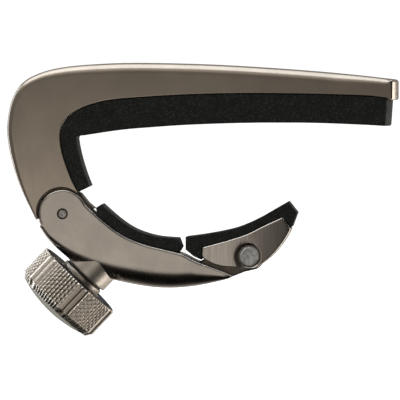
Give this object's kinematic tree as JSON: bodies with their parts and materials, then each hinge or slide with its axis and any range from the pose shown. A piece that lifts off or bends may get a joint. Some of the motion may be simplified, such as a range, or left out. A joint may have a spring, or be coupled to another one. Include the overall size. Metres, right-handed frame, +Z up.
{
  "type": "guitar capo",
  "caption": "C-shaped guitar capo with a padded bar over the strings, a hinged lower arm with a pivoting shoe, and a knurled knob that sets its grip.",
  "frame": {"origin": "crown of the string pad's contact face, on the capo's middle plane", "axes": "+X along the upper bar towards its tip, +Z up from the strings into the bar, and Y across the capo, which is mirrored about Y = 0 but for the knob's flutes"},
  "size_m": [0.0784, 0.0188, 0.0548],
  "materials": {
    "cast_metal": "satin pewter-grey plating over a die casting",
    "turned_metal": "satin, knurled",
    "cap_metal": "satin",
    "bright_steel": "bright",
    "spring_steel": "drawn wire",
    "bronze": "plain",
    "nylon": "matt",
    "rubber": "matt, finely speckled"
  },
  "bodies": {
    "frame": {"frame": "cast_metal", "string_pad": "rubber", "pivot_bush": "bronze", "return_spring": "spring_steel"},
    "arm": {"arm": "cast_metal", "arm_pad": "rubber", "pivot_pin": "bright_steel", "pivot_washer_front": "nylon", "pivot_washer_rear": "nylon", "boss_bush": "bronze", "thrust_washer": "nylon"},
    "shoe": {"shoe": "cast_metal", "shoe_pad": "rubber", "shoe_rivet": "bright_steel", "shoe_washer_front": "nylon", "shoe_washer_rear": "nylon"},
    "nut": {"barrel_nut": "bright_steel"},
    "knob": {"knob_grip": "turned_metal", "knob_cap": "cap_metal", "knob_collar": "turned_metal", "adjusting_screw": "bright_steel"}
  },
  "joints": [
    {"name": "arm_pivot", "type": "hinge", "parent": "frame", "child": "arm", "pos_m": [-0.044, 0, -0.01826], "axis": [0, 1, 0], "range_deg": [-1, 12], "deforming": ["return_spring"]},
    {"name": "nut_pivot", "type": "hinge", "parent": "frame", "child": "nut", "pos_m": [-0.03632, 0, -0.02692], "axis": [0, 1, 0], "range_deg": [-1, 12]},
    {"name": "knob_spin", "type": "hinge", "parent": "arm", "child": "knob", "pos_m": [-0.03969, 0, -0.03048], "axis": [-0.6873, 0, -0.7263], "range_deg": [-142, 1735]},
    {"name": "shoe_pivot", "type": "hinge", "parent": "arm", "child": "shoe", "pos_m": [-0.0065, 0, -0.02676], "axis": [0, 1, 0], "range_deg": [-2.5, 8]}
  ],
  "couplings": [
    {"joint": "arm_pivot", "follows": "knob_spin", "ratio": 0.0068904},
    {"joint": "nut_pivot", "follows": "knob_spin", "ratio": 0.0068904}
  ]
}
